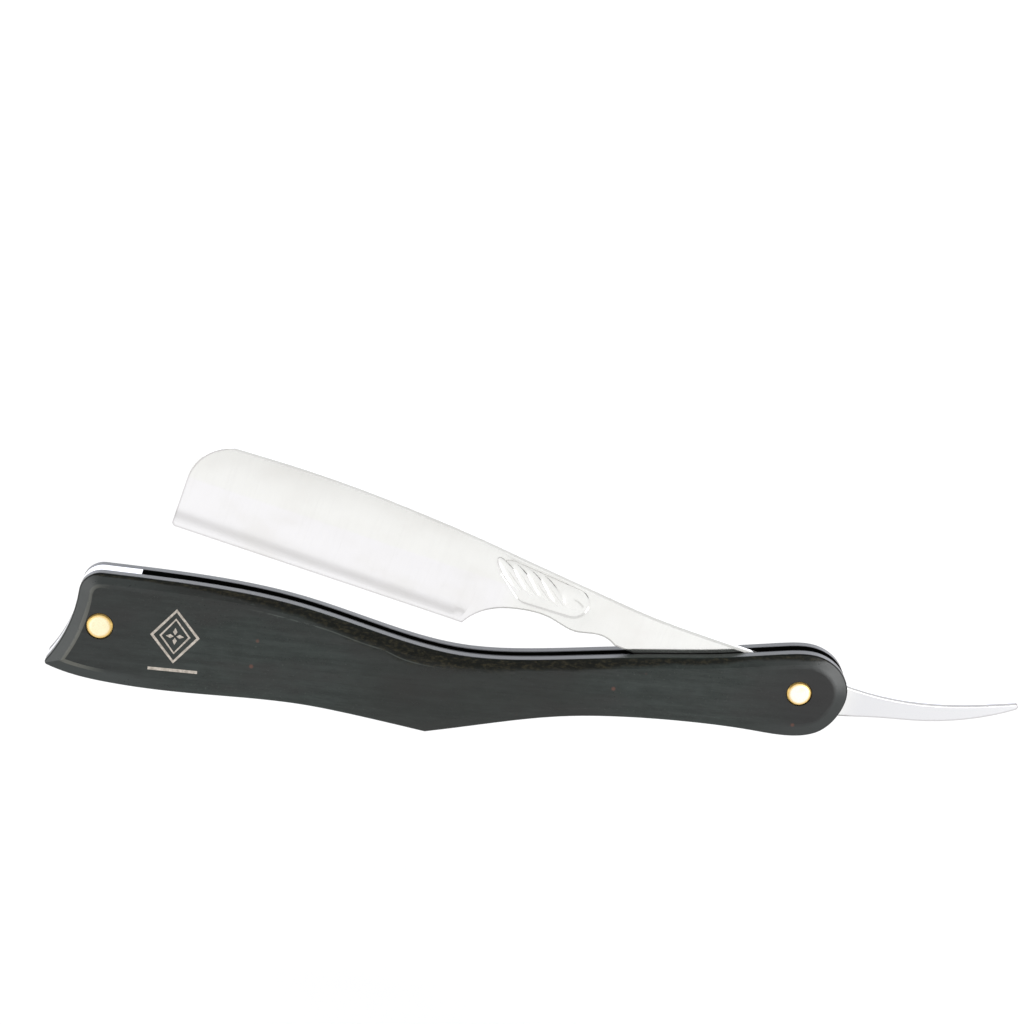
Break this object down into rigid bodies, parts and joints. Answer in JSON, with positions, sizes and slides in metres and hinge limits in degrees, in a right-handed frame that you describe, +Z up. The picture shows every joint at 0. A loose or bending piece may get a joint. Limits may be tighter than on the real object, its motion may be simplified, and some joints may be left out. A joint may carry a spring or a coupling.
{
  "type": "straight razor",
  "caption": "Folding straight razor: a hollow-ground wedge blade with a round point and an upturned tail, pivoted on a brass rivet between dark rounded scales with a metal tail spacer.",
  "frame": {"origin": "in the middle of the back scale's flat outer face, half way between the two rivets along X and 7 mm below the line through them", "axes": "+X from the handle's tail end towards its pivot end and the tang's tail, +Y out of the back scale's flat outer face, along the pivot axis, +Z up towards the blade's spine"},
  "size_m": [0.1904, 0.0087, 0.0534],
  "materials": {
    "blade_steel": "polished carbon steel, hollow ground",
    "scale_wood": "dark stained hardwood, satin with a low sheen",
    "spacer_metal": "fine satin",
    "rivet_brass": "polished flat head with a softened rim",
    "washer_brass": "plain sheet"
  },
  "bodies": {
    "handle": {"front_scale": "scale_wood", "back_scale": "scale_wood", "tail_spacer": "spacer_metal", "pivot_rivet_pin": "rivet_brass", "pivot_rivet_sleeve": "rivet_brass", "tail_rivet_pin": "rivet_brass", "tail_rivet_sleeve": "rivet_brass", "front_pivot_washer": "washer_brass", "back_pivot_washer": "washer_brass"},
    "blade": {"blade": "blade_steel"}
  },
  "joints": [
    {"name": "blade_pivot", "type": "hinge", "parent": "handle", "child": "blade", "pos_m": [0.0682, -0.0041, 0.007], "axis": [0, 1, 0], "range_deg": [-9, 320]}
  ]
}
